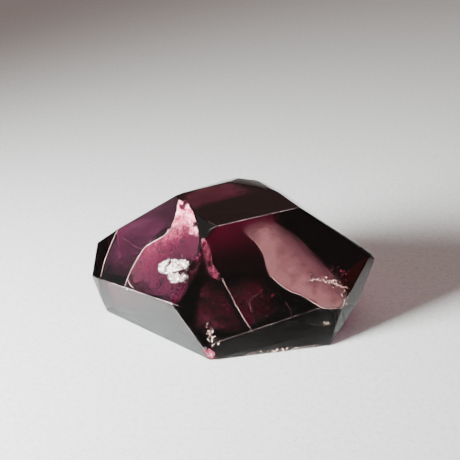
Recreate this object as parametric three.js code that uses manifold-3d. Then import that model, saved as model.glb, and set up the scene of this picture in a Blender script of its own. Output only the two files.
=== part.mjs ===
// A loose garnet, ground and polished to flat facets: one solid stone that lies on its flat base.
// Units are millimetres, +Z is up, and the stone's long side runs along X.
import * as THREE from "three";
import { mergeVertices } from "three/addons/utils/BufferGeometryUtils.js";
import Module from "manifold-3d";

const wasm = await Module();
wasm.setup();

// ---- Driving dimensions ----

const EDGE_ROUND = 0.32; // width of the narrow flat that polishing leaves along every edge
const ROUGH_BLOCK = [80, 80, 60]; // the rough block that the facets are ground from

// Each facet is a flat ground across the stone.
// faces: the compass direction it looks in, in degrees anticlockwise from +X.
// tips: how many degrees it leans up from vertical; 90 looks straight up, below 0 it is undercut.
// reach: how far the flat stands from the centre of the base.
const FACETS = {
  base: { faces: 0, tips: -90, reach: 0 },

  // the broad facets of the front and top
  front: { faces: 281.2, tips: 24.1, reach: 9.9 },
  table: { faces: 254.8, tips: 76.1, reach: 18.9 },
  left_shoulder: { faces: 224.7, tips: 41, reach: 15.6 },
  corner_nick: { faces: 233.1, tips: 46.4, reach: 16.3 },
  crest: { faces: 65.6, tips: 75, reach: 22 },

  // the facets that meet the base in front
  front_heel: { faces: 282.4, tips: 18.8, reach: 9.9 },
  left_heel: { faces: 231.2, tips: -11.7, reach: 11 },
  left_toe: { faces: 219.2, tips: -10.1, reach: 14.6 },
  right_heel: { faces: 298.1, tips: 11.9, reach: 13.2 },

  // the two ends
  left_end: { faces: 205.9, tips: 36.7, reach: 19.4 },
  left_point: { faces: 160, tips: -19.6, reach: 19.3 },
  right_point: { faces: 10, tips: -26.8, reach: 13.7 },
  right_toe: { faces: 348.7, tips: -32, reach: 13.4 },

  // the slopes and the steep faces of the back
  left_slope: { faces: 130.2, tips: 48, reach: 21.2 },
  back_left_slope: { faces: 123.6, tips: 66.5, reach: 22 },
  back_slope: { faces: 81.9, tips: 35, reach: 20.8 },
  back_right_slope: { faces: 38, tips: 60, reach: 21.9 },
  right_slope: { faces: 27.7, tips: 52, reach: 21.2 },
  far_right_slope: { faces: 7.9, tips: 54.3, reach: 22 },
  back_face: { faces: 92, tips: -8, reach: 15.5 },
  back_left_face: { faces: 140, tips: -20, reach: 19.5 },
  back_right_face: { faces: 48, tips: 6, reach: 17 },
};

// Small shell-shaped chips broken out of the edges: where each is, its size along X, Y and Z, and its turn.
const CHIPS = [
  { at: [-9.7, -9.1, 8.6], size: [0.45, 0.42, 0.5], turn: 20 },
  { at: [-4.7, -11.2, 1.8], size: [0.7, 0.45, 0.6], turn: 35 },
  { at: [-4.2, -11.4, 0.8], size: [0.9, 0.5, 0.6], turn: -15 },
  { at: [-3.2, -11.3, 0.2], size: [0.9, 0.42, 0.5], turn: 5 },
  { at: [-16.8, -3.1, 7.5], size: [0.7, 0.4, 0.42], turn: -50 },
  { at: [-9.4, 4.7, 20.1], size: [0.5, 0.45, 0.35], turn: 10 },
  { at: [6.4, -1.1, 19.9], size: [1.0, 0.4, 0.35], turn: 12 },
  { at: [7.5, -0.8, 20], size: [0.7, 0.35, 0.35], turn: 40 },
  { at: [4.8, 5.1, 21.1], size: [0.9, 0.45, 0.3], turn: -22 },
  { at: [5.8, 4.8, 21.1], size: [0.6, 0.4, 0.3], turn: 15 },
  { at: [7.6, -9.2, 0.1], size: [0.9, 0.35, 0.4], turn: 12 },
  { at: [10.2, -8.7, 0.1], size: [0.6, 0.3, 0.35], turn: 30 },
  { at: [12.4, -8.2, 0.1], size: [0.7, 0.35, 0.3], turn: -8 },
];

// ---- Helpers ----

// The unit vector that a facet looks along.
function outward({ faces, tips }) {
  const around = THREE.MathUtils.degToRad(faces);
  const up = THREE.MathUtils.degToRad(tips);
  return new THREE.Vector3(
    Math.cos(around) * Math.cos(up),
    Math.sin(around) * Math.cos(up),
    Math.sin(up),
  );
}

// Grinds a flat: removes whatever of the solid lies beyond the plane.
function grind(solid, normal, reach) {
  return solid.trimByPlane([-normal.x, -normal.y, -normal.z], -reach);
}

// The point where three flats meet, or null if two of them are parallel.
function meetingPoint(a, b, c) {
  const bc = b.normal.clone().cross(c.normal);
  const spread = a.normal.dot(bc);
  if (Math.abs(spread) < 1e-6) return null;
  return bc
    .multiplyScalar(a.reach)
    .add(c.normal.clone().cross(a.normal).multiplyScalar(b.reach))
    .add(a.normal.clone().cross(b.normal).multiplyScalar(c.reach))
    .divideScalar(spread);
}

// Every corner of the stone, each with the set of flats that pass through it.
function cornersOf(flats) {
  const corners = [];
  for (let i = 0; i < flats.length; i++) {
    for (let j = i + 1; j < flats.length; j++) {
      for (let k = j + 1; k < flats.length; k++) {
        const point = meetingPoint(flats[i], flats[j], flats[k]);
        if (!point) continue;
        const outside = flats.some((f) => f.normal.dot(point) > f.reach + 1e-6);
        if (!outside) corners.push({ point, flats: new Set([i, j, k]) });
      }
    }
  }
  return corners;
}

// A flat for every edge, leaning halfway between the two facets that meet there.
function edgeFlats(flats, width) {
  const corners = cornersOf(flats);
  const found = [];
  for (let i = 0; i < flats.length; i++) {
    for (let j = i + 1; j < flats.length; j++) {
      const ends = corners.filter((c) => c.flats.has(i) && c.flats.has(j));
      if (ends.length < 2) continue;
      const turn = flats[i].normal.angleTo(flats[j].normal);
      const depth = (width / 2) * Math.tan(turn / 2);
      const normal = flats[i].normal.clone().add(flats[j].normal).normalize();
      found.push({ normal, reach: normal.dot(ends[0].point) - depth });
    }
  }
  return found;
}

// A three.js geometry as a solid that can be cut.
function toSolid(geometry) {
  const bare = new THREE.BufferGeometry();
  bare.setAttribute("position", geometry.getAttribute("position"));
  const merged = mergeVertices(bare, 1e-5);
  const mesh = new wasm.Mesh({
    numProp: 3,
    vertProperties: merged.getAttribute("position").array,
    triVerts: new Uint32Array(merged.index.array),
  });
  return new wasm.Manifold(mesh);
}

// A solid back as a three.js geometry.
function toGeometry(solid) {
  const mesh = solid.getMesh();
  const geometry = new THREE.BufferGeometry();
  geometry.setAttribute("position", new THREE.BufferAttribute(mesh.vertProperties, 3));
  geometry.setIndex(new THREE.BufferAttribute(mesh.triVerts, 1));
  const facetted = geometry.toNonIndexed();
  facetted.computeVertexNormals();
  return facetted;
}

// The lump that breaks out of an edge: a rough ball, so the scar it leaves is made of small facets.
function chip({ at, size, turn }) {
  const lump = new THREE.IcosahedronGeometry(1, 1);
  const place = lump.getAttribute("position");
  for (let i = 0; i < place.count; i++) {
    const [x, y, z] = [place.getX(i), place.getY(i), place.getZ(i)];
    const rough = 1 + 0.16 * Math.sin(7 * x + 3 * at[0]) * Math.cos(5 * y - 4 * z + at[1]);
    place.setXYZ(i, x * rough, y * rough, z * rough);
  }
  lump.scale(...size);
  lump.rotateZ(THREE.MathUtils.degToRad(turn));
  lump.translate(...at);
  return toSolid(lump);
}

// ---- The stone ----

const flats = Object.values(FACETS).map((f) => ({ normal: outward(f), reach: f.reach }));

let stone = wasm.Manifold.cube(ROUGH_BLOCK, true);
for (const { normal, reach } of flats) stone = grind(stone, normal, reach);
for (const { normal, reach } of edgeFlats(flats, EDGE_ROUND)) stone = grind(stone, normal, reach);
for (const spot of CHIPS) stone = stone.subtract(chip(spot));

// The origin goes to the middle of the stone's footprint, on its base.
const geometry = toGeometry(stone);
geometry.computeBoundingBox();
const middle = geometry.boundingBox.getCenter(new THREE.Vector3());
geometry.translate(-middle.x, -middle.y, -geometry.boundingBox.min.z);

const garnet = new THREE.MeshStandardMaterial({ color: 0x4a0c1c, roughness: 0.05, metalness: 0 });
garnet.name = "garnet";
const crystal = new THREE.Mesh(geometry, garnet);
crystal.name = "crystal";

const part = new THREE.Group();
part.name = "garnet_crystal";
part.add(crystal);
export default part;
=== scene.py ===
# %% [markdown]
# # A loose garnet, ground to flat facets
# The stone is one piece of deep red garnet. Its outside is a handful of flats, ground and polished by
# hand, and its inside is not clean: healed cracks, a torn rosy fracture, one crack that shines like a
# mirror, and crumbs of pale mineral. The frame already holds the true outer shape, so this lesson
# keeps it, softens its edges, gives it a glass that swallows light, and then fills it with its flaws.

# %% Load the frame
import math
import bpy
import bmesh
import numpy as np
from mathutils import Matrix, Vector


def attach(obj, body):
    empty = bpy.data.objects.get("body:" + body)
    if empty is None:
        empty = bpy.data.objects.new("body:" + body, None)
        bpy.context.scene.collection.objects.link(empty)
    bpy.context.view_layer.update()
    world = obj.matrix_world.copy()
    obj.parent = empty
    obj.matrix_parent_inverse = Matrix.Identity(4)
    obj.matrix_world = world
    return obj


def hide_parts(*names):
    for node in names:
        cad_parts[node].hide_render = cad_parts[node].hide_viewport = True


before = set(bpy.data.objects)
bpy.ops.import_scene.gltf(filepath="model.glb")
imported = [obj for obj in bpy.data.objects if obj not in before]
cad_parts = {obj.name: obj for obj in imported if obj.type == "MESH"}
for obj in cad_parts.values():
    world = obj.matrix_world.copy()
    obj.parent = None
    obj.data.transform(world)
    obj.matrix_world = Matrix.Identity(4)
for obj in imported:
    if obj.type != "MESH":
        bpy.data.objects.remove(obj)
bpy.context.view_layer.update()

MM = 0.001

# %% [markdown]
# ## The camera
# The stone is seen a little from above, from close by, so the near heel looks larger than the far
# crest. A camera needs only a place, an aim and a lens: the narrow lens keeps the facets' angles true.

# %% The camera
CAMERA_PLACE = Vector((-0.1, -128.9, 80.4)) * MM
CAMERA_DIP = math.radians(27.0)
LENS_ANGLE = math.radians(28.0)

camera_data = bpy.data.cameras.new("camera")
camera_data.sensor_width = 36.0
camera_data.lens_unit = "MILLIMETERS"
camera_data.lens = camera_data.sensor_width / 2 / math.tan(LENS_ANGLE / 2)
camera_data.clip_start = 0.005
camera = bpy.data.objects.new("camera", camera_data)
camera.location = CAMERA_PLACE
camera.rotation_euler = (math.radians(90.0) - CAMERA_DIP, 0.0, 0.0)
bpy.context.scene.collection.objects.link(camera)
bpy.context.scene.camera = camera
print("lens", round(camera_data.lens, 1), "mm")

# %% [markdown]
# ## Small helpers for materials
# A material is a little graph of nodes. Two helpers keep the graphs short to read: one adds a node and
# fills in its values, the other turns a string of stops into a colour ramp.

# %% Node helpers
def add_node(tree, kind, values=None, **settings):
    """Adds a node of this kind; settings are its own properties, values fill its input sockets."""
    node = tree.nodes.new(kind)
    for name, value in settings.items():
        setattr(node, name, value)
    for socket, value in (values or {}).items():
        node.inputs[socket].default_value = value
    return node


def add_ramp(tree, factor, stops):
    """A colour ramp: stops are (position, colour) from left to right, joined by straight blends."""
    ramp = tree.nodes.new("ShaderNodeValToRGB")
    tree.links.new(factor, ramp.inputs["Fac"])
    elements = ramp.color_ramp.elements
    while len(elements) < len(stops):
        elements.new(0.5)
    for element, (position, colour) in zip(elements, stops):
        element.position = position
        element.color = (*colour, 1.0) if len(colour) == 3 else colour
    return ramp


def new_material(name):
    """An empty material with its output node, ready for its shader."""
    material = bpy.data.materials.new(name)
    material.use_nodes = True
    tree = material.node_tree
    tree.nodes.clear()
    output = tree.nodes.new("ShaderNodeOutputMaterial")
    return material, tree, output


# %% [markdown]
# ## One effect, used by several materials: mottle
# Nothing inside a stone is one even colour. This node group mixes a coarse and a fine cloud into one
# mask, and several materials below use it with their own sizes. A group hands out only masks.

# %% The mottle group
mottle = bpy.data.node_groups.new("mottle", "ShaderNodeTree")
for name, start in (("Coarse Size", 1.0), ("Fine Size", 0.2), ("Fine Share", 0.4), ("Contrast", 1.0)):
    socket = mottle.interface.new_socket(name, in_out="INPUT", socket_type="NodeSocketFloat")
    socket.default_value = start
squeeze = mottle.interface.new_socket("Squeeze", in_out="INPUT", socket_type="NodeSocketVector")
squeeze.default_value = (1.0, 1.0, 1.0)
mottle.interface.new_socket("Mask", in_out="OUTPUT", socket_type="NodeSocketFloat")

group_in = mottle.nodes.new("NodeGroupInput")
group_out = mottle.nodes.new("NodeGroupOutput")
where = mottle.nodes.new("ShaderNodeTexCoord")
squeezed = add_node(mottle, "ShaderNodeVectorMath", operation="MULTIPLY")
mottle.links.new(where.outputs["Object"], squeezed.inputs[0])
mottle.links.new(group_in.outputs["Squeeze"], squeezed.inputs[1])


def cloud(size_socket):
    """A noise whose spots are as many millimetres across as the socket says."""
    per_metre = add_node(mottle, "ShaderNodeMath", {0: 1.0 / MM}, operation="DIVIDE")
    mottle.links.new(group_in.outputs[size_socket], per_metre.inputs[1])
    noise = add_node(mottle, "ShaderNodeTexNoise", {"Detail": 3.0, "Roughness": 0.6})
    mottle.links.new(squeezed.outputs["Vector"], noise.inputs["Vector"])
    mottle.links.new(per_metre.outputs[0], noise.inputs["Scale"])
    return noise.outputs["Fac"]


blend = add_node(mottle, "ShaderNodeMix", data_type="FLOAT")
mottle.links.new(group_in.outputs["Fine Share"], blend.inputs[0])
mottle.links.new(cloud("Coarse Size"), blend.inputs[2])
mottle.links.new(cloud("Fine Size"), blend.inputs[3])
centred = add_node(mottle, "ShaderNodeMath", {1: 0.5}, operation="SUBTRACT")
mottle.links.new(blend.outputs[0], centred.inputs[0])
stretched = add_node(mottle, "ShaderNodeMath", {2: 0.5}, operation="MULTIPLY_ADD", use_clamp=True)
mottle.links.new(centred.outputs[0], stretched.inputs[0])
mottle.links.new(group_in.outputs["Contrast"], stretched.inputs[1])
mottle.links.new(stretched.outputs[0], group_out.inputs["Mask"])


def add_mottle(tree, coarse, fine, share=0.4, contrast=2.5, squeeze=(1.0, 1.0, 1.0)):
    """Places the mottle group in a material and returns its mask; a squeeze under 1 makes streaks."""
    node = tree.nodes.new("ShaderNodeGroup")
    node.node_tree = mottle
    node.inputs["Squeeze"].default_value = squeeze
    for socket, value in zip(("Coarse Size", "Fine Size", "Fine Share", "Contrast"),
                             (coarse, fine, share, contrast)):
        node.inputs[socket].default_value = value
    return node.outputs["Mask"]


# %% [markdown]
# ## The garnet itself
# Garnet bends light strongly (its index is near 1.8) and takes in green and blue far more than red, so
# a thin edge looks rose and a thick middle looks almost black. That colour belongs in the body and not
# on the skin: the surface is clear, and a Volume Absorption node darkens light by the distance that it
# travels inside. The polish is good but not perfect, so a faint bump and a little roughness are added.

# %% The garnet material
GARNET_INDEX = 1.79
ABSORPTION_TINT = (0.74, 0.18, 0.58, 1.0)
ABSORPTION_DENSITY = 520.0

garnet, tree, output = new_material("garnet")
shell = add_node(tree, "ShaderNodeBsdfPrincipled", {
    "Base Color": (1.0, 1.0, 1.0, 1.0),
    "Roughness": 0.015,
    "IOR": GARNET_INDEX,
    "Transmission Weight": 1.0,
})
absorption = add_node(tree, "ShaderNodeVolumeAbsorption", {
    "Color": ABSORPTION_TINT,
    "Density": ABSORPTION_DENSITY,
})
tree.links.new(shell.outputs["BSDF"], output.inputs["Surface"])
tree.links.new(absorption.outputs["Volume"], output.inputs["Volume"])

chipped = add_node(tree, "ShaderNodeAttribute", attribute_name="chipped")
haze = add_mottle(tree, 6.0, 0.5, 0.5, 3.0)
worn = add_node(tree, "ShaderNodeMapRange", {"To Min": 0.006, "To Max": 0.05})
tree.links.new(haze, worn.inputs["Value"])
rough = add_node(tree, "ShaderNodeMix", {3: 0.55}, data_type="FLOAT")
tree.links.new(chipped.outputs["Fac"], rough.inputs[0])
tree.links.new(worn.outputs["Result"], rough.inputs[2])
unpolished = add_node(tree, "ShaderNodeAttribute", attribute_name="ground")
total = add_node(tree, "ShaderNodeMath", operation="ADD")
tree.links.new(rough.outputs[0], total.inputs[0])
tree.links.new(unpolished.outputs["Fac"], total.inputs[1])
tree.links.new(total.outputs[0], shell.inputs["Roughness"])

ripple = add_mottle(tree, 3.0, 0.35, 0.35, 1.0)
relief = add_node(tree, "ShaderNodeBump", {"Strength": 0.10, "Distance": 0.02 * MM})
tree.links.new(ripple, relief.inputs["Height"])
tree.links.new(relief.outputs["Normal"], shell.inputs["Normal"])

# %% [markdown]
# ## The stone's shape
# The frame's solid has every facet and every chip in its true place. Its mesh is loose triangles, so a
# copy is merged and its flat triangles are joined into whole facets. The narrow strips that run along
# the edges are then shaded as one soft bend: the Weighted Normal modifier lets each broad facet keep
# its own flat shading and gives the strips the turn from one facet to the next. The base, the back and
# the two heels were ground but hardly polished, so their faces carry a number that makes them satin.

# %% The stone
def linked(name, mesh):
    """A new object for this mesh, in the scene."""
    piece = bpy.data.objects.new(name, mesh)
    bpy.context.scene.collection.objects.link(piece)
    return piece


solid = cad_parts["crystal"]
stone = linked("stone", solid.data.copy())
work = bmesh.new()
work.from_mesh(stone.data)
bmesh.ops.remove_doubles(work, verts=work.verts, dist=0.002 * MM)
bmesh.ops.dissolve_limit(work, angle_limit=math.radians(0.4), verts=work.verts, edges=work.edges)
SMALL_FACE = 0.12 * MM * MM
HEEL_LOOKS = Vector((0.203, -0.925, 0.322))
LEFT_HEEL_LOOKS = Vector((-0.614, -0.763, -0.203))
SAME_WAY = 0.995
GROUND_BACK, GROUND_HEEL = 0.20, 0.18
small = {face.index for face in work.faces
         if face.calc_area() < SMALL_FACE and len(face.verts) == 3}
scar = [1.0 if vert.link_faces and all(f.index in small for f in vert.link_faces) else 0.0
        for vert in work.verts]
for edge in work.edges:
    edge.smooth = edge.calc_face_angle(0.0) < math.radians(50.0)
for face in work.faces:
    face.smooth = True
work.to_mesh(stone.data)
work.free()
marks = stone.data.attributes.new("chipped", "FLOAT", "POINT")
marks.data.foreach_set("value", np.array(scar, dtype=np.float32))
satin = [GROUND_BACK if face.normal.z < -0.9 or face.normal.y > 0.45 or face.normal.x > 0.8
         else GROUND_HEEL
         if max(face.normal.dot(HEEL_LOOKS), face.normal.dot(LEFT_HEEL_LOOKS)) > SAME_WAY
         else 0.0 for face in stone.data.polygons]
ground = stone.data.attributes.new("ground", "FLOAT", "FACE")
ground.data.foreach_set("value", np.array(satin, dtype=np.float32))
soften = stone.modifiers.new("soft edges", "WEIGHTED_NORMAL")
soften.weight = 100
soften.keep_sharp = True
stone.data.materials.clear()
stone.data.materials.append(garnet)
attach(stone, "root")
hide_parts("crystal")
print("stone:", len(stone.data.polygons), "faces,", int(sum(scar)), "chipped points")

# %% [markdown]
# ## Finding the facets
# The flaws lie just under certain facets, so their places are given from those facets: millimetres
# across, millimetres up the slope, and millimetres deep into the stone. Each facet is found by the
# direction that it looks in, and its middle is measured on the solid.

# %% Facet frames
solid.data.calc_loop_triangles()
points = np.empty(len(solid.data.vertices) * 3)
solid.data.vertices.foreach_get("co", points)
corners = np.empty(len(solid.data.loop_triangles) * 3, dtype=np.int32)
solid.data.loop_triangles.foreach_get("vertices", corners)
triangles = points.reshape(-1, 3)[corners.reshape(-1, 3)]
turned = np.cross(triangles[:, 1] - triangles[:, 0], triangles[:, 2] - triangles[:, 0])
areas = np.linalg.norm(turned, axis=1) / 2
outward = turned / np.maximum(2 * areas, 1e-12)[:, None]


class Facet:
    """A flat of the stone with its own directions: across to the right, up the slope, and out."""

    def __init__(self, faces, tips):
        around, lean = math.radians(faces), math.radians(tips)
        aim = np.array([math.cos(around) * math.cos(lean), math.sin(around) * math.cos(lean),
                        math.sin(lean)])
        mine = outward @ aim > math.cos(math.radians(1.0))
        share = areas[mine] / areas[mine].sum()
        self.middle = (triangles[mine].mean(axis=1) * share[:, None]).sum(axis=0)
        self.out = (outward[mine] * share[:, None]).sum(axis=0)
        self.out /= np.linalg.norm(self.out)
        self.across = np.cross([0.0, 0.0, 1.0], self.out)
        self.across /= np.linalg.norm(self.across)
        self.up = np.cross(self.out, self.across)

    def place(self, across, up, deep):
        """The point this far across, up and deep, all in millimetres; whole arrays at once."""
        return self.middle + MM * (np.asarray(across)[..., None] * self.across
                                   + np.asarray(up)[..., None] * self.up
                                   - np.asarray(deep)[..., None] * self.out)


front = Facet(281.2, 24.1)
shoulder = Facet(224.7, 41.0)
table = Facet(254.8, 76.1)
heel = Facet(282.4, 18.8)
print("front facet's middle", np.round(front.middle / MM, 1))

# %% [markdown]
# Each flaw keeps its own distance from the skin. The stone is convex but for its small chips, so a point
# is inside when it is behind every facet; one that isn't is pushed straight back behind the facet it has
# crossed. A distance below zero lets scars and crumbs that break the surface stand a little proud of it.

# %% Staying inside
FLAT_AREA = 2.0 * MM * MM
SMALLEST_TRIANGLE = 0.3 * MM * MM
SAME_FACING = 0.99995
facings = np.unique(np.round(outward[areas > SMALLEST_TRIANGLE], 3), axis=0)
walls = []
for facing in facings:
    mine = outward @ facing > SAME_FACING
    if areas[mine].sum() > FLAT_AREA:
        direction = (outward[mine] * areas[mine][:, None]).sum(axis=0)
        direction /= np.linalg.norm(direction)
        walls.append((*direction, (triangles.reshape(-1, 3) @ direction).max()))
walls = np.unique(np.round(np.array(walls), 6), axis=0)
print(len(walls), "walls hold the flaws in place")


def keep_inside(places, depth=0.12):
    """Moves each point behind every wall: point - wall direction * how far it is beyond the depth."""
    for _ in range(12):
        for wall in walls:
            beyond = np.maximum(places @ wall[:3] - wall[3] + depth * MM, 0.0)
            places = places - beyond[..., None] * wall[:3]
    return places

# %% [markdown]
# ## Roughness in numbers
# Broken mineral is bumpy at every size. Value noise puts a random height on each crossing of a square
# net and joins them smoothly; adding nets that are each half as wide and half as high gives the
# familiar crumpled look. Everything runs on whole arrays, so a sheet of thousands of points is quick.

# %% Noise and smooth lines
def net_noise(x, y, size, seed):
    """Random heights from -1 to 1 on a net of this size, joined by the smooth step 3t^2 - 2t^3."""
    heights = np.random.default_rng(seed).uniform(-1.0, 1.0, (64, 64))
    x, y = x / size + 17.3, y / size + 31.7
    column, row = np.floor(x).astype(int), np.floor(y).astype(int)
    s, t = x - column, y - row
    s, t = s * s * (3 - 2 * s), t * t * (3 - 2 * t)
    low = heights[column % 64, row % 64] * (1 - s) + heights[(column + 1) % 64, row % 64] * s
    high = (heights[column % 64, (row + 1) % 64] * (1 - s)
            + heights[(column + 1) % 64, (row + 1) % 64] * s)
    return low * (1 - t) + high * t


def crumple(x, y, size, seed, layers=4):
    """The sum of nets, each half as wide and half as high as the one before."""
    return sum(net_noise(x, y, size / 2 ** k, seed + k) / 2 ** k for k in range(layers))


def smooth_line(stops, count):
    """A smooth line through a few stops: between two stops it is the Catmull-Rom cubic."""
    stops = np.asarray(stops, dtype=float)
    stops = np.vstack([2 * stops[0] - stops[1], stops, 2 * stops[-1] - stops[-2]])
    run = np.linspace(0.0, len(stops) - 3.0, count)
    start = np.minimum(run.astype(int), len(stops) - 4)
    t = (run - start)[:, None]
    a, b, c, d = stops[start], stops[start + 1], stops[start + 2], stops[start + 3]
    return 0.5 * (2 * b + (c - a) * t + (2 * a - 5 * b + 4 * c - d) * t ** 2
                  + (3 * b - a - 3 * c + d) * t ** 3)


# %% [markdown]
# ## Cracks as sheets
# A crack is a sheet. Each one here is stretched between two lines, its near edge and its far edge, and
# every point between them is a straight blend; the crumple then pushes it in and out. Most cracks lie
# under the surface, and the few that broke through it are laid on the skin instead. Each point also
# carries two numbers for its material: `body`, which falls to nothing towards chosen edges, and `tone`,
# which says how bright that part of the crack is; on the rosy fracture the tone is painted light and
# shade.

# %% Making a crack
def grid_faces(rows, columns):
    """The squares of a grid whose points are numbered row by row."""
    first = (np.arange(rows - 1)[:, None] * columns + np.arange(columns - 1)[None, :]).ravel()
    return np.column_stack([first, first + 1, first + columns + 1, first + columns])


def keep_numbers(mesh, **numbers):
    """Stores one number for every point of the mesh, under each name."""
    for name, values in numbers.items():
        layer = mesh.attributes.new(name, "FLOAT", "POINT")
        layer.data.foreach_set("value", np.asarray(values, dtype=np.float32).ravel())


def inside_piece(name, mesh, material):
    """Puts a mesh into the stone as a piece of its own."""
    mesh.materials.append(material)
    piece = linked(name, mesh)
    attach(piece, "root")
    return piece


LEAST_DEPTH = 0.10
SKIN_STEP = 0.02


def crack(name, facet, near, far, material, lumps=0.0, lump_size=1.0, seed=1, rows=80, columns=70,
          layers=4, ridged=False, thickness=0.03, fade=(0.0, 0.0, 0.0, 0.0), ragged=0.5, tone=None,
          skin=False):
    """A sheet between two lines: place = near line * (1 - t) + far line * t + crumple.

    The fade is how wide the soft border is at the first end, the last end, the near line and the far
    line, each as a share of the sheet; ragged says how much noise breaks that border up. With skin,
    the sheet lies on the surface and its lumps stand out: height = step + lumps * (1 + crumple) / 2.
    """
    s = np.linspace(0.0, 1.0, rows)[:, None] + np.zeros((1, columns))
    t = np.linspace(0.0, 1.0, columns)[None, :] + np.zeros((rows, 1))
    near_line, far_line = smooth_line(near, rows), smooth_line(far, rows)
    flat = near_line[:, None, :] * (1 - t[..., None]) + far_line[:, None, :] * t[..., None]
    bump = crumple(flat[..., 0], flat[..., 1], lump_size, seed, layers)
    if ridged:
        bump = 1.0 - 2.0 * np.abs(bump)
    body = np.ones_like(s)
    noise = np.clip(ragged * crumple(flat[..., 0], flat[..., 1], 1.5, seed + 50), -0.95, 2.0)
    for share, distance in zip(fade, (s, 1 - s, t, 1 - t)):
        if share > 0.0:
            body = body * np.clip(distance / share * (1.0 + noise), 0.0, 1.0)
    if skin:
        height = SKIN_STEP + lumps * (1.0 + bump) / 2.0
        surface = keep_inside(facet.place(flat[..., 0], flat[..., 1], 0.0 * s), 0.0)
        places = surface + height[..., None] * MM * facet.out
    else:
        deep = np.maximum(flat[..., 2] + lumps * bump, LEAST_DEPTH)
        places = keep_inside(facet.place(flat[..., 0], flat[..., 1], deep))
    mesh = bpy.data.meshes.new(name)
    mesh.from_pydata(places.reshape(-1, 3).tolist(), [], grid_faces(rows, columns).tolist())
    mesh.shade_smooth()
    keep_numbers(mesh, body=body, tone=np.ones_like(s) if tone is None else tone(s, t))
    piece = inside_piece(name, mesh, material)
    closing = piece.modifiers.new("thickness", "SOLIDIFY")
    closing.thickness, closing.offset = thickness * MM, 0.0
    return piece


# %% [markdown]
# ## Threads and flakes
# A healed crack that is seen edge on is a thread: a thin tube along a line, which swells and narrows.
# Crumbs are flakes: little flattened eight-sided crystals, all of them in one mesh, turned every way by
# a seeded random choice, so that a few of them always catch the light. Both can lie under the skin or,
# where they are scars and chips, half through it.

# %% Making threads and flakes
CLEARANCE = 0.06
THREAD_PROUD = -0.035
FLAKE_PROUD = -0.06


def thread(name, facet, stops, width, material, seed=1, wander=0.06, skin=False):
    """A tube along a smooth line: radius = half width * (0.6 + 0.4 * noise), closed to its ends."""
    count, sides = 14 * len(stops), 6
    line = smooth_line(stops, count)
    along = np.linspace(0.0, 10.0, count)
    line[:, 0] += wander * crumple(along * 3, along * 0, 1.0, seed)
    line[:, 1] += wander * crumple(along * 3, along * 0 + 9.0, 1.0, seed + 1)
    radius = width / 2 * (0.6 + 0.4 * crumple(along, along * 0 + 4.0, 1.0, seed + 2))
    radius = radius * np.clip(np.minimum(along, along[::-1]) * 2.0 + 0.1, 0.0, 1.0)
    ahead = np.gradient(line[:, :2], axis=0)
    ahead /= np.linalg.norm(ahead, axis=1)[:, None]
    angle = np.linspace(0.0, 2 * math.pi, sides, endpoint=False)[None, :]
    sideways, down = radius[:, None] * np.cos(angle), radius[:, None] * np.sin(angle)
    if skin:
        line[:, 2] = 0.0
    places = facet.place(line[:, :1] - ahead[:, 1:] * sideways, line[:, 1:2] + ahead[:, :1] * sideways,
                         line[:, 2:] + down)
    places = keep_inside(places, THREAD_PROUD if skin else CLEARANCE)
    first = (np.arange(count - 1)[:, None] * sides + np.arange(sides)[None, :])
    after = (np.arange(count - 1)[:, None] * sides + (np.arange(sides)[None, :] + 1) % sides)
    walls = np.stack([first, after, after + sides, first + sides], axis=-1).reshape(-1, 4).tolist()
    ends = [list(range(sides))[::-1], list(range((count - 1) * sides, count * sides))]
    mesh = bpy.data.meshes.new(name)
    mesh.from_pydata(places.reshape(-1, 3).tolist(), [], walls + ends)
    mesh.shade_smooth()
    keep_numbers(mesh, body=np.ones(count * sides), tone=np.ones(count * sides))
    return inside_piece(name, mesh, material)


CRYSTAL_POINTS = np.array([(1, 0, 0), (0, 1, 0), (-1, 0, 0), (0, -1, 0), (0, 0, 1), (0, 0, -1)], float)
CRYSTAL_FACES = np.array([(0, 1, 4), (1, 2, 4), (2, 3, 4), (3, 0, 4),
                          (1, 0, 5), (2, 1, 5), (3, 2, 5), (0, 3, 5)])


def flakes(name, facet, spine, spread, count, size, material, seed=1, flatness=0.25, skin=False):
    """Crumbs scattered about a line: each is a flattened crystal, turned by a random rotation."""
    dice = np.random.default_rng(seed)
    line = smooth_line(spine, 200)[dice.integers(0, 200, count)]
    centres = line + dice.normal(0.0, 1.0, (count, 3)) * np.asarray(spread)
    centres[:, 2] = 0.0 if skin else np.maximum(centres[:, 2], size + CLEARANCE)
    spans = size * dice.uniform(0.25, 1.0, (count, 1)) ** 1.5 * dice.uniform(0.5, 1.0, (count, 3))
    spans[:, 2] *= flatness
    turns, upper = np.linalg.qr(dice.normal(0.0, 1.0, (count, 3, 3)))
    turns *= np.linalg.det(turns)[:, None, None]
    shapes = np.einsum("pk,nk,njk->npj", CRYSTAL_POINTS, spans, turns) + centres[:, None, :]
    places = facet.place(shapes[..., 0], shapes[..., 1], -shapes[..., 2] + 2 * centres[:, None, 2])
    places = keep_inside(places, FLAKE_PROUD if skin else CLEARANCE)
    faces = (CRYSTAL_FACES[None] + 6 * np.arange(count)[:, None, None]).reshape(-1, 3)
    mesh = bpy.data.meshes.new(name)
    mesh.from_pydata(places.reshape(-1, 3).tolist(), [], faces.tolist())
    keep_numbers(mesh, body=np.ones(6 * count), tone=np.repeat(dice.uniform(0.2, 1.0, count), 6))
    return inside_piece(name, mesh, material)
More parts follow.
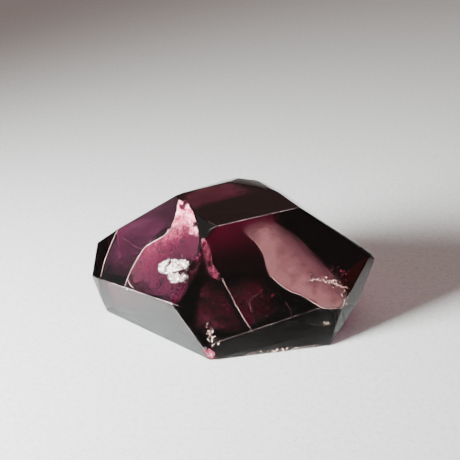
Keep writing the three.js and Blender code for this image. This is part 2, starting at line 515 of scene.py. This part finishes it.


# %% [markdown]
# ## Finishes of the flaws
# A crack scatters light, so inside the red glass it looks like pink frost where light reaches it and
# plum where it doesn't; on the rosy fracture this lit pink and shaded plum is painted into its colour.
# The flaws lie so near the surface that the garnet in front of them adds little colour, so each finish
# carries its own pink, plum, tan or silver. The mirror crack's tan is a painted reflection, and the pale
# edge threads are partly wear and partly a painted highlight.

# %% Flaw materials
def flaw_material(name, stops, coarse, fine, roughness, metallic=0.0, holes=0.0, contrast=3.0,
                  fading=False, bump=0.0, squeeze=(1.0, 1.0, 1.0), density=1.0, soft=0.25, shine=0.5):
    """A mineral finish: a ramp through mottle * tone, with holes where the mottle is low.

    The opacity is body * density outside the holes, and soft says how gently the holes begin.
    """
    material, tree, output = new_material(name)
    shader = add_node(tree, "ShaderNodeBsdfPrincipled", {
        "Roughness": roughness, "Metallic": metallic, "IOR": 1.5, "Specular IOR Level": shine,
    })
    tree.links.new(shader.outputs["BSDF"], output.inputs["Surface"])
    mask = add_mottle(tree, coarse, fine, 0.5, contrast, squeeze)
    tone = add_node(tree, "ShaderNodeAttribute", attribute_name="tone")
    lit = add_node(tree, "ShaderNodeMath", operation="MULTIPLY")
    tree.links.new(mask, lit.inputs[0])
    tree.links.new(tone.outputs["Fac"], lit.inputs[1])
    colour = add_ramp(tree, lit.outputs[0], stops)
    tree.links.new(colour.outputs["Color"], shader.inputs["Base Color"])
    if bump > 0.0:
        relief = add_node(tree, "ShaderNodeBump", {"Strength": 0.6, "Distance": bump * MM})
        tree.links.new(mask, relief.inputs["Height"])
        tree.links.new(relief.outputs["Normal"], shader.inputs["Normal"])
    if fading or holes > 0.0:
        body = add_node(tree, "ShaderNodeAttribute", attribute_name="body")
        kept = body.outputs["Fac"]
        if holes > 0.0:
            lace = add_mottle(tree, coarse * 0.8, fine * 0.7, 0.5, contrast, squeeze)
            span = add_node(tree, "ShaderNodeMapRange", {
                "From Min": holes - soft, "From Max": holes + soft, "To Max": density,
            })
            tree.links.new(lace, span.inputs["Value"])
            both = add_node(tree, "ShaderNodeMath", operation="MULTIPLY")
            tree.links.new(kept, both.inputs[0])
            tree.links.new(span.outputs["Result"], both.inputs[1])
            kept = both.outputs[0]
        tree.links.new(kept, shader.inputs["Alpha"])
    return material


# Rose frost ramp: shaded plum at the low end, lit pink at the high end; with the tone it paints the rosy
# fracture's light and shade.
rose_frost_painted_light = flaw_material("rose_frost_painted_light", [(0.0, (0.05, 0.002, 0.015)), (0.40, (0.22, 0.012, 0.055)),
                                          (0.95, (0.88, 0.17, 0.28))],
                           1.8, 0.25, 0.45, contrast=3.2, shine=0.2, fading=True, holes=0.1, bump=0.2,
                           squeeze=(1.0, 0.5, 0.5))
rose_crust = flaw_material("rose_crust", [(0.05, (0.10, 0.006, 0.02)), (0.35, (0.42, 0.05, 0.11)),
                                          (0.60, (0.66, 0.24, 0.27)), (0.90, (1.0, 0.84, 0.80))],
                           0.9, 0.2, 0.3, contrast=3.0, fading=True, bump=0.15)
silver_crumbs = flaw_material("silver_crumbs", [(0.15, (0.10, 0.03, 0.04)), (0.45, (0.42, 0.33, 0.31)),
                                                (0.80, (0.92, 0.88, 0.83))],
                              0.6, 0.16, 0.25, metallic=0.5, contrast=5.0, fading=True, bump=0.12)
# Tan painted reflection: the bright surroundings that the air-filled mirror crack turns back, painted as
# a flat tan; the torn crumbs share it.
tan_painted_reflection = flaw_material("tan_painted_reflection", [(0.0, (0.38, 0.225, 0.16)), (1.0, (0.64, 0.42, 0.31))],
                           3.0, 0.3, 0.4, contrast=1.5, fading=True, bump=0.03)
plum_veil = flaw_material("plum_veil", [(0.2, (0.10, 0.010, 0.035)), (0.9, (0.60, 0.24, 0.36))],
                          1.6, 0.25, 0.5, contrast=1.8, fading=True, holes=0.45, soft=0.4, density=0.22,
                          shine=0.1,
                          squeeze=(0.25, 1.0, 0.4))
wine_veil = flaw_material("wine_veil", [(0.2, (0.10, 0.004, 0.02)), (0.9, (0.55, 0.13, 0.18))],
                          2.4, 0.4, 0.5, contrast=1.8, fading=True, holes=0.6, soft=0.3, density=0.7,
                          squeeze=(0.4, 1.0, 0.6))
# Near-black crumbs that put small dark spots on the shoulder's skin.
dark_speck = flaw_material("dark_speck", [(0.1, (0.012, 0.002, 0.004)), (0.9, (0.06, 0.01, 0.02))],
                         0.5, 0.1, 0.4)
# Pale edge threads: part wear, part a painted highlight standing for the light mirrored by the edges.
wear_and_painted_highlight = flaw_material("wear_and_painted_highlight", [(0.3, (0.08, 0.03, 0.04)), (0.8, (0.42, 0.32, 0.31))],
                          1.2, 0.2, 0.4)
pale_thread = flaw_material("pale_thread", [(0.1, (0.22, 0.05, 0.08)), (0.7, (0.58, 0.38, 0.34))],
                            0.8, 0.2, 0.3)
bright_flake = flaw_material("bright_flake", [(0.0, (0.35, 0.08, 0.10)), (0.5, (0.95, 0.75, 0.62))],
                             0.8, 0.2, 0.15)
red_flake = flaw_material("red_flake", [(0.0, (0.12, 0.0, 0.02)), (0.8, (0.62, 0.10, 0.16))],
                          0.8, 0.2, 0.3)

# %% [markdown]
# ## The rosy fracture under the left shoulder
# The biggest flaw starts at a bright curved line on the surface and slopes down to the right. Light
# from the left falls straight onto it, and its glow is painted: pink near its upper edge and along its
# near line, sinking to a painted plum shade at its foot and on the right.

# %% The rosy fracture
ROSE_NEAR = [(-1.9, -7.3, 0.2), (-2.3, -5.0, 0.2), (-2.3, -2.9, 0.2), (-2.1, -0.7, 0.2),
             (-0.6, 1.6, 0.2), (0.6, 3.1, 0.2), (1.1, 4.6, 0.3), (0.5, 6.8, 0.6), (0.1, 8.8, 0.7)]
ROSE_FAR = [(7.5, -6.0, 1.6), (8.2, -4.0, 1.6), (8.4, -1.4, 1.5), (8.1, 1.3, 1.4),
            (7.5, 3.0, 1.2), (6.9, 4.6, 1.0), (5.0, 6.4, 0.9), (3.2, 7.8, 0.8), (1.0, 8.9, 0.7)]


def rose_painted_light(s, t):
    """Painted light and shade: bright on the near line and towards the top, dim at the foot and the
    right.
    """
    upper = np.clip((s - 0.15) / 0.5, 0.0, 1.0)
    band = np.exp(-((t - 0.12) / 0.30) ** 2)
    crown = np.exp(-((s - 0.72) / 0.13) ** 2 - ((t - 0.40) / 0.30) ** 2)
    return np.clip(0.16 + 0.95 * upper * band + 0.75 * crown, 0.1, 1.25)


crack("rosy_fracture", shoulder, ROSE_NEAR, ROSE_FAR, rose_frost_painted_light, lumps=0.07, lump_size=2.0, seed=11,
      rows=150, columns=110, layers=3, fade=(0.08, 0.0, 0.0, 0.06), tone=rose_painted_light)
thread("rosy_rim", shoulder, [(-1.85, -7.2, 0.2), (-2.3, -4.95, 0.2), (-2.3, -2.9, 0.2),
       (-2.1, -0.7, 0.2),
                              (-1.7, 0.15, 0.2), (-0.5, 1.6, 0.2), (0.6, 3.1, 0.2), (1.1, 4.7, 0.2)],
       0.15, pale_thread, seed=5, skin=True)
flakes("rosy_crumbs", shoulder, [(-1.6, 0.3, 0.3), (-0.2, 1.6, 0.3), (0.9, 3.3, 0.3), (1.6, 4.6, 0.3)],
       (0.45, 0.45, 0.06), 60, 0.26, rose_crust, seed=61, skin=True)

# %% The crusted crest of the fracture
CRUST_LEFT = [(1.0, 4.2, 0.25), (0.6, 6.0, 0.22), (0.1, 7.4, 0.2), (-0.3, 8.6, 0.2)]
CRUST_RIGHT = [(7.1, 4.6, 0.25), (5.6, 6.1, 0.22), (4.2, 7.4, 0.2), (1.5, 8.8, 0.2)]
crack("crusted_crest", shoulder, CRUST_LEFT, CRUST_RIGHT, rose_crust, lumps=0.42, lump_size=1.9,
      seed=23, rows=150, columns=150, layers=4, ridged=True, skin=True, fade=(0.2, 0.03, 0.05, 0.04),
      ragged=1.1,
      tone=lambda s, t: 0.50 + 0.45 * np.clip(np.abs(t - 0.45) * 2.0, 0.0, 1.0) + 0.12 * s)

# %% The silver crumbs
UPPER_LOBE_TOP = [(2.4, -1.7, 0.3), (3.4, -0.3, 0.3), (5.2, 0.3, 0.3), (6.8, 0.9, 0.3), (7.9, 0.5, 0.3)]
UPPER_LOBE_FOOT = [(2.7, -2.5, 0.3), (4.0, -2.7, 0.3), (5.3, -2.0, 0.3), (7.0, -0.9, 0.3),
                    (7.9, -0.2, 0.3)]
crack("silver_crumbs_upper", shoulder, UPPER_LOBE_TOP, UPPER_LOBE_FOOT, silver_crumbs, lumps=0.36,
      lump_size=1.2, seed=31, rows=150, columns=100, layers=4, ridged=True, skin=True,
      fade=(0.12, 0.12, 0.15, 0.15), ragged=1.0)
LOWER_LOBE_TOP = [(4.4, -2.2, 0.3), (6.0, -1.7, 0.3), (7.2, -1.0, 0.3), (8.4, -1.2, 0.3)]
LOWER_LOBE_FOOT = [(5.4, -3.0, 0.3), (6.6, -3.2, 0.3), (7.6, -2.8, 0.3), (8.4, -2.1, 0.3)]
crack("silver_crumbs_lower", shoulder, LOWER_LOBE_TOP, LOWER_LOBE_FOOT, silver_crumbs, lumps=0.32,
      lump_size=1.0, seed=37, rows=120, columns=80, layers=4, ridged=True, skin=True,
      fade=(0.12, 0.12, 0.15, 0.15), ragged=1.0, tone=lambda s, t: 0.78 + 0.0 * s)
flakes("silver_glints", shoulder, [(2.6, -2.1, 0.2), (4.7, -0.7, 0.2), (7.2, 0.1, 0.2),
       (7.9, -1.9, 0.2)],
       (0.7, 0.6, 0.05), 90, 0.24, silver_crumbs, seed=71, skin=True)
flakes("dark_eye", shoulder, [(0.4, 0.0, 0.12), (1.3, 0.4, 0.12), (2.2, 0.3, 0.12)],
       (0.12, 0.14, 0.02), 26, 0.30, dark_speck, seed=73, skin=True)
flakes("dark_notch", shoulder, [(4.6, 5.3, 0.12), (5.4, 5.1, 0.12), (6.3, 4.4, 0.12)],
       (0.12, 0.14, 0.02), 26, 0.30, dark_speck, seed=79, skin=True)

# %% [markdown]
# ## Veils under the left end
# Left of the fracture the stone is clearer, but thin streaky veils hang in it and give it its purple
# haze. They are cracks too, with more holes than body.

# %% The veils
crack("left_veil", shoulder, [(-8.5, -6.5, 1.0), (-9.2, -3.0, 1.0), (-9.0, 0.6, 1.0), (-6.4, 3.4, 1.0)],
      [(-2.6, -6.8, 1.6), (-2.6, -3.0, 1.6), (-1.8, 0.6, 1.4), (-0.6, 5.8, 1.2)], plum_veil,
      lumps=0.15, lump_size=3.0, seed=61, fade=(0.25, 0.05, 0.05, 0.08))
crack("upper_left_veil", shoulder, [(-8.8, 1.0, 0.8), (-6.4, 3.4, 0.8), (-4.6, 5.6, 0.8),
      (-1.8, 8.4, 0.8)],
      [(-3.2, -0.4, 1.4), (-1.8, 1.6, 1.4), (-0.2, 4.4, 1.4), (-0.2, 7.8, 1.0)], plum_veil,
      lumps=0.15, lump_size=3.0, seed=63, fade=(0.2, 0.05, 0.05, 0.2))
crack("front_left_veil", front, [(-9.2, 1.2, 1.0), (-11.0, -3.0, 1.0), (-12.0, -7.5, 1.0)],
      [(-6.8, -1.6, 2.2), (-5.2, -5.0, 2.2), (-3.6, -8.4, 1.8)], wine_veil,
      lumps=0.3, lump_size=3.0, seed=69, fade=(0.2, 0.1, 0.1, 0.1))
crack("front_veil", front, [(-6.2, -1.5, 2.2), (-5.0, -4.5, 2.2), (-3.2, -8.0, 2.0)],
      [(-0.5, 0.5, 4.0), (0.5, -2.5, 4.0), (3.0, -6.0, 3.5)], wine_veil,
      lumps=0.4, lump_size=4.0, seed=73, fade=(0.25, 0.1, 0.1, 0.3))
crack("table_veil", table, [(-8.2, -0.4, 0.5), (-6.7, 2.1, 0.5), (-4.2, 3.6, 0.5), (-2.0, 4.8, 0.5)],
      [(-5.4, -3.4, 1.0), (-4.4, -1.2, 1.2), (-1.0, 1.2, 1.4), (3.5, 3.7, 1.4)], wine_veil,
      lumps=0.15, lump_size=3.0, seed=79, fade=(0.1, 0.1, 0.1, 0.4))
thread("left_rim", shoulder, [(-9.2, 0.5, 0.15), (-9.0, -2.2, 0.15), (-8.5, -5.0, 0.15),
       (-7.5, -7.8, 0.15)],
       0.16, pale_thread, seed=3, skin=True)
thread("branch_line", shoulder, [(-7.9, -0.65, 0.8), (-6.6, -0.7, 0.8), (-4.3, -0.9, 0.8),
       (-1.7, -0.8, 0.8)],
       0.09, pale_thread, seed=7)
thread("white_twig", shoulder, [(-1.95, -6.1, 0.3), (-1.0, -6.5, 0.3), (-0.05, -6.7, 0.3)], 0.14,
       pale_thread, seed=9, skin=True)

# %% [markdown]
# ## The ribbon and the light line at the left of the front facet
# A narrow pink ribbon drops from the nicked corner, and a hair-thin healed crack runs on from its foot
# to the front corner.

# %% The ribbon
crack("pink_ribbon", front,
      [(-10.0, 6.6, 0.2), (-9.7, 5.3, 0.2), (-9.5, 3.7, 0.2), (-9.3, 2.1, 0.2), (-8.6, 0.5, 0.2),
      (-7.4, -0.3, 0.2)],
      [(-9.1, 6.5, 0.3), (-8.4, 5.2, 0.3), (-8.1, 3.6, 0.3), (-7.8, 2.1, 0.3), (-7.2, 1.0, 0.3),
      (-6.7, 0.0, 0.3)],
      rose_crust, lumps=0.12, lump_size=0.9, seed=83, rows=90, columns=30, layers=3, ridged=True,
      fade=(0.05, 0.1, 0.3, 0.3), ragged=1.8, tone=lambda s, t: 0.34 + 0.35 * t)
thread("light_line", front, [(-6.9, 0.1, 0.2), (-6.1, -1.8, 0.2), (-4.8, -4.9, 0.2), (-3.7, -7.0, 0.2),
                             (-2.8, -8.6, 0.2)], 0.09, pale_thread, seed=13, wander=0.10, skin=True)
flakes("corner_sparkles", front, [(-9.7, -6.6, 0.3), (-9.3, -8.0, 0.3), (-9.0, -9.0, 0.3),
       (-8.6, -9.8, 0.3)],
       (0.30, 0.35, 0.08), 60, 0.34, bright_flake, seed=89, skin=True)
flakes("red_crumbs", front, [(-2.4, -3.2, 1.4), (-1.2, -2.2, 1.4), (1.4, -2.5, 1.6), (-0.4, -4.6, 1.4)],
       (0.5, 0.5, 0.3), 40, 0.26, red_flake, seed=97)
thread("pink_arc", front, [(-2.6, -5.4, 1.0), (-2.9, -4.2, 1.0), (-2.0, -3.1, 1.0),
       (-0.8, -2.7, 1.0)], 0.12,
       pale_thread, seed=19, wander=0.2)
thread("thin_line", front, [(2.6, -4.4, 1.0), (3.2, -5.6, 1.0), (3.5, -6.9, 1.0)], 0.09, pale_thread,
       seed=21, wander=0.15)

# %% [markdown]
# ## The mirror crack
# Close under the front facet lies one flat crack, filled with air. It turns back nearly all the light
# that meets it; that mirrored light is painted into it as a smooth tan band, a painted reflection, with
# a bright torn edge along its foot. Its upper edge dies away softly into the dark stone: a painted fade
# that stands for the soft edge of a shadow mirrored in it.

# %% The mirror crack
MIRROR_FOOT = [(-3.4, 7.0, 0.6), (-1.5, 4.9, 0.6), (-0.4, 3.0, 0.6), (0.3, -0.1, 0.6),
               (2.9, -2.6, 0.6), (5.2, -3.8, 0.6), (8.2, -5.9, 0.6), (11.3, -6.2, 0.6)]
MIRROR_TOP = [(-2.6, 7.9, 0.7), (0.6, 8.4, 0.7), (2.8, 7.3, 0.8), (5.4, 5.4, 0.9),
              (7.7, 2.7, 0.9), (9.4, 0.7, 0.9), (11.2, -1.2, 0.9), (12.6, -4.4, 0.8)]
# The crack's tan and its wide soft fade at the top are a painted reflection and a painted shadow edge.
crack("mirror_crack", front, MIRROR_FOOT, MIRROR_TOP, tan_painted_reflection, lumps=0.04, lump_size=4.0,
      seed=43, rows=120, columns=60, fade=(0.30, 0.03, 0.05, 0.75), ragged=0.35)
thread("mirror_rim", front, [(0.3, -0.1, 0.4), (2.9, -2.6, 0.4), (5.2, -3.8, 0.4), (8.2, -5.9, 0.4),
                             (10.2, -6.2, 0.4), (11.3, -6.2, 0.4), (12.0, -4.8, 0.4)],
       0.16, pale_thread, seed=17, skin=True)
# The torn crumbs wear the same tan as the mirror's painted reflection.
flakes("torn_crumbs", front, [(8.8, -1.9, 0.4), (10.2, -2.2, 0.4), (12.0, -3.4, 0.4),
       (11.8, -5.2, 0.4)],
       (0.35, 0.35, 0.1), 50, 0.26, tan_painted_reflection, seed=103, skin=True)
thread("torn_edge", front, [(6.6, -1.6, 0.3), (7.8, -1.5, 0.3), (8.8, -1.9, 0.3), (10.0, -2.0, 0.3),
                            (11.0, -2.9, 0.3), (12.2, -3.2, 0.3)], 0.14, pale_thread, seed=27,
                            wander=0.25, skin=True)
flakes("dark_glitter", front, [(10.0, 0.3, 0.8), (11.4, -0.4, 0.8), (12.6, -1.9, 0.8)],
       (0.4, 0.4, 0.15), 40,
       0.26, red_flake, seed=105)
flakes("heel_glints", heel, [(6.3, 0.6, 0.4), (7.4, 1.1, 0.4)], (0.3, 0.3, 0.1), 16, 0.2, bright_flake,
       seed=107, skin=True)
flakes("foot_chips", heel, [(-6.0, -2.2, 0.15), (-1.2, -2.2, 0.15), (0.6, -2.3, 0.15),
       (4.9, -2.2, 0.15)],
       (0.5, 0.10, 0.03), 90, 0.24, bright_flake, seed=109, skin=True)
flakes("corner_scar", heel, [(-11.9, -0.9, 0.2), (-11.7, -1.6, 0.2), (-11.3, -2.2, 0.2)],
       (0.35, 0.25, 0.05), 90, 0.40, rose_crust, seed=113, skin=True)

# %% [markdown]
# ## Worn edges and painted edge highlights
# Where two facets meet, the stone has rubbed against others for years and the edge has gone pale; the
# pale thread there also paints the bright line that the rounded edges mirror. The line where two facets
# cross is found from their directions, and a thread is laid just inside it.

# %% The edges
def edge_stops(one, other, start, stop):
    """Stops along the line where two facets cross, in the first facet's own measures."""
    along = np.cross(one.out, other.out)
    along /= np.linalg.norm(along)
    along *= 1.0 if along @ one.across > 0.0 else -1.0
    rows = np.array([one.out, other.out, along])
    origin = np.linalg.solve(rows, [one.out @ one.middle, other.out @ other.middle, along @ one.middle])
    spots = origin + np.linspace(start, stop, 5)[:, None] * MM * along - one.middle
    return np.column_stack([spots @ one.across, spots @ one.up, np.full(len(spots), 0.02 * MM)]) / MM


left_heel = Facet(231.2, -11.7)
# Each edge thread paints a highlight as well as wear.
for name, one, other, start, stop, width in (
        ("table_edge", front, table, -7.6, 6.5, 0.12), ("heel_edge", front, heel, -12.0, 11.5, 0.045),
        ("shoulder_foot_edge", shoulder, left_heel, -8.0, 9.0, 0.14),
        ("front_left_edge", front, left_heel, -5.0, 5.0, 0.08)):
    thread(name, one, edge_stops(one, other, start, stop), width, wear_and_painted_highlight, seed=29, wander=0.02,
           skin=True)

# %% [markdown]
# ## The floor and the light
# The stone lies on a plain pale floor. One soft lamp, low on the left and close by, draws the long
# shadow and lights the fracture. Because it is close, its light falls away towards the back. A wide,
# dim, warm panel above keeps the shadow open. Two more dim panels are there for what the polish mirrors:
# the left one lies as a sheen on the shoulder and the back one on the top facet.

# %% The floor
FLOOR_HALF = 1.5
floor_mesh = bpy.data.meshes.new("floor")
floor_mesh.from_pydata([(-FLOOR_HALF, -FLOOR_HALF, 0.0), (FLOOR_HALF, -FLOOR_HALF, 0.0),
                        (FLOOR_HALF, FLOOR_HALF, 0.0), (-FLOOR_HALF, FLOOR_HALF, 0.0)], [],
                       [(0, 1, 2, 3)])
floor = linked("floor", floor_mesh)
plaster, tree, output = new_material("pale_floor")
matt = add_node(tree, "ShaderNodeBsdfPrincipled", {"Roughness": 0.85})
tree.links.new(matt.outputs["BSDF"], output.inputs["Surface"])
speckle = add_ramp(tree, add_mottle(tree, 0.9, 0.3, 0.6, 3.0),
                   [(0.0, (0.50, 0.49, 0.48)), (0.35, (0.68, 0.67, 0.66)), (1.0, (0.80, 0.79, 0.78))])
tree.links.new(speckle.outputs["Color"], matt.inputs["Base Color"])
floor.data.materials.append(plaster)

# %% The lamps
def soft_lamp(name, faces, height, distance, size, power, colour):
    """A square lamp that looks at the stone from this direction.

    Faces and height are in degrees, distance and size in metres, and power in watts.
    """
    data = bpy.data.lights.new(name, "AREA")
    data.size, data.energy, data.color = size, power, colour
    lamp = bpy.data.objects.new(name, data)
    around, lift = math.radians(faces), math.radians(height)
    aim = Vector((math.cos(around) * math.cos(lift), math.sin(around) * math.cos(lift), math.sin(lift)))
    lamp.location = aim * distance
    lamp.rotation_euler = aim.to_track_quat("Z", "Y").to_euler()
    bpy.context.scene.collection.objects.link(lamp)
    return lamp


window = soft_lamp("window", 207.0, 18.0, 0.22, 0.10, 0.95, (0.94, 1.0, 1.0))
WINDOW_SPREAD = math.radians(72.0)
window.data.spread = WINDOW_SPREAD
soft_lamp("ceiling", 300.0, 78.0, 0.90, 0.80, 2.4, (1.0, 0.84, 0.78))
soft_lamp("left_panel", 182.0, 36.0, 0.80, 0.60, 0.27, (0.95, 0.96, 1.0))
soft_lamp("back_panel", 104.0, 61.0, 0.90, 0.60, 0.22, (1.0, 0.50, 0.50))
ROOM_COLOUR = (1.0, 0.80, 0.74, 1.0)
ROOM_STRENGTH = 0.07
world = bpy.data.worlds.new("room")
world.use_nodes = True
world.node_tree.nodes["Background"].inputs["Color"].default_value = ROOM_COLOUR
world.node_tree.nodes["Background"].inputs["Strength"].default_value = ROOM_STRENGTH
bpy.context.scene.world = world
